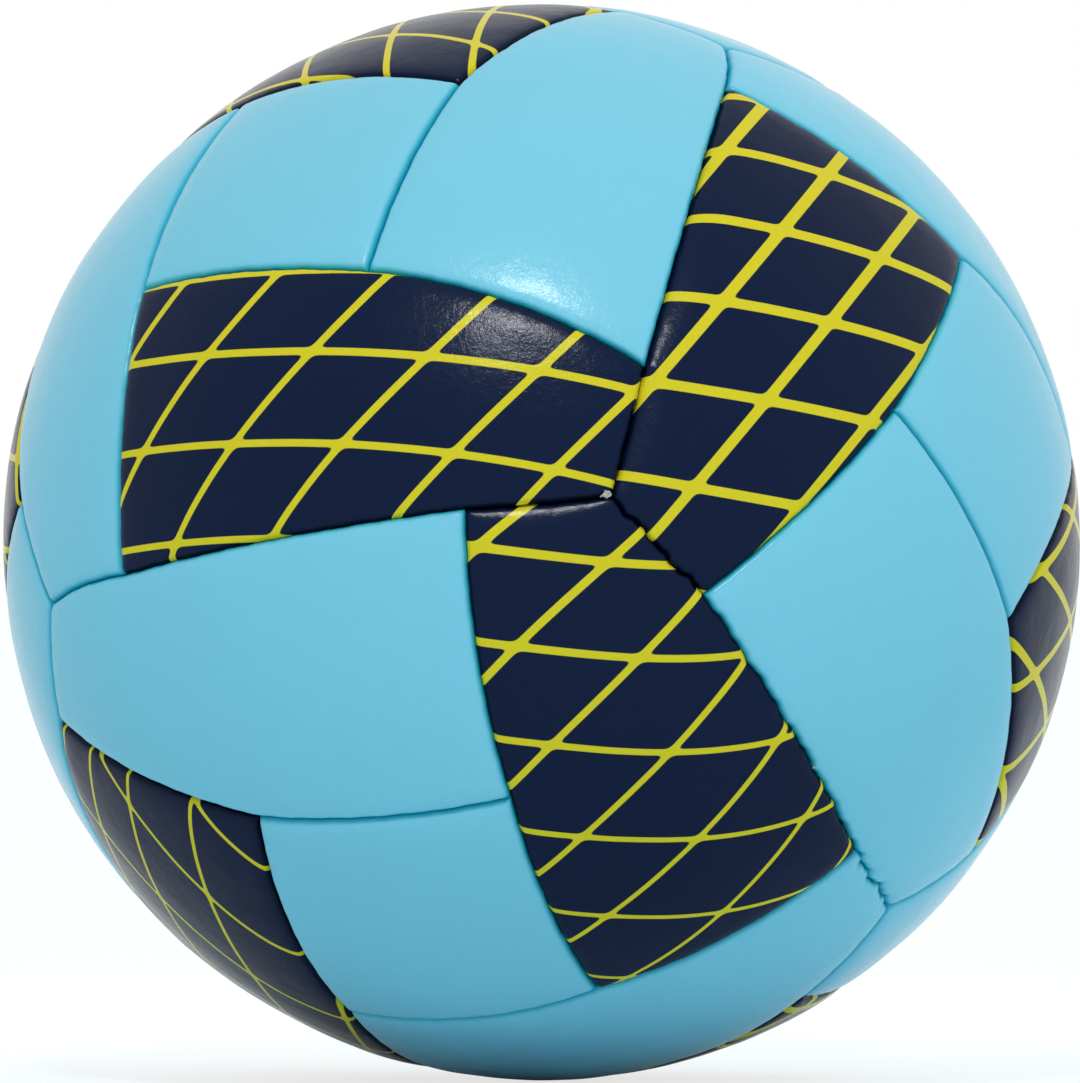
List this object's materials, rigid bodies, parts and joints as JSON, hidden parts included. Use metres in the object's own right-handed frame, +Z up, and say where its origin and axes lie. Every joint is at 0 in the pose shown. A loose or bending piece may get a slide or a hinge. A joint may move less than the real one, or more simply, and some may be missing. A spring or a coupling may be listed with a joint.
{
  "type": "handball",
  "caption": "Hand-stitched playing ball: padded trapezoid and square cover panels sewn over an inflatable bladder with a needle valve.",
  "frame": {"origin": "centre of the ball", "axes": "+Z is up as the ball lies in the picture, -Y points to the viewer of the picture and +X to the viewer's right; the floor lies 90 mm below the origin"},
  "size_m": [0.18, 0.18, 0.18],
  "materials": {
    "navy_cover": "satin grained PU leather",
    "sky_cover": "satin grained PU leather",
    "square_cover": "satin grained PU leather",
    "foam": "matt soft foam",
    "backing_cloth": "matt woven cloth",
    "thread": "waxed",
    "thread_end": "waxed",
    "bladder_rubber": "matt",
    "patch_cloth": "matt woven cloth",
    "valve_rubber": "matt",
    "core_rubber": "matt"
  },
  "bodies": {
    "root": {"navy_panel_1": "navy_cover", "navy_panel_2": "navy_cover", "navy_panel_3": "navy_cover", "navy_panel_4": "navy_cover", "navy_panel_5": "navy_cover", "navy_panel_6": "navy_cover", "navy_panel_7": "navy_cover", "navy_panel_8": "navy_cover", "navy_panel_9": "navy_cover", "navy_panel_10": "navy_cover", "navy_panel_11": "navy_cover", "navy_panel_12": "navy_cover", "sky_panel_1": "sky_cover", "sky_panel_2": "sky_cover", "sky_panel_3": "sky_cover", "sky_panel_4": "sky_cover", "sky_panel_5": "sky_cover", "sky_panel_6": "sky_cover", "sky_panel_7": "sky_cover", "sky_panel_8": "sky_cover", "sky_panel_9": "sky_cover", "sky_panel_10": "sky_cover", "sky_panel_11": "sky_cover", "sky_panel_12": "sky_cover", "square_panel_1": "square_cover", "square_panel_2": "square_cover", "square_panel_3": "square_cover", "square_panel_4": "square_cover", "square_panel_5": "square_cover", "square_panel_6": "square_cover", "navy_foam_pads": "foam", "sky_foam_pads": "foam", "square_foam_pads": "foam", "navy_backings": "backing_cloth", "sky_backings": "backing_cloth", "square_backings": "backing_cloth", "corner_seam_threads": "thread", "spoke_seam_threads": "thread", "square_seam_threads": "thread", "long_seam_threads": "thread", "closing_knot": "thread_end", "bladder": "bladder_rubber", "valve_patch": "patch_cloth", "valve_body": "valve_rubber", "valve_core": "core_rubber"}
  },
  "joints": []
}
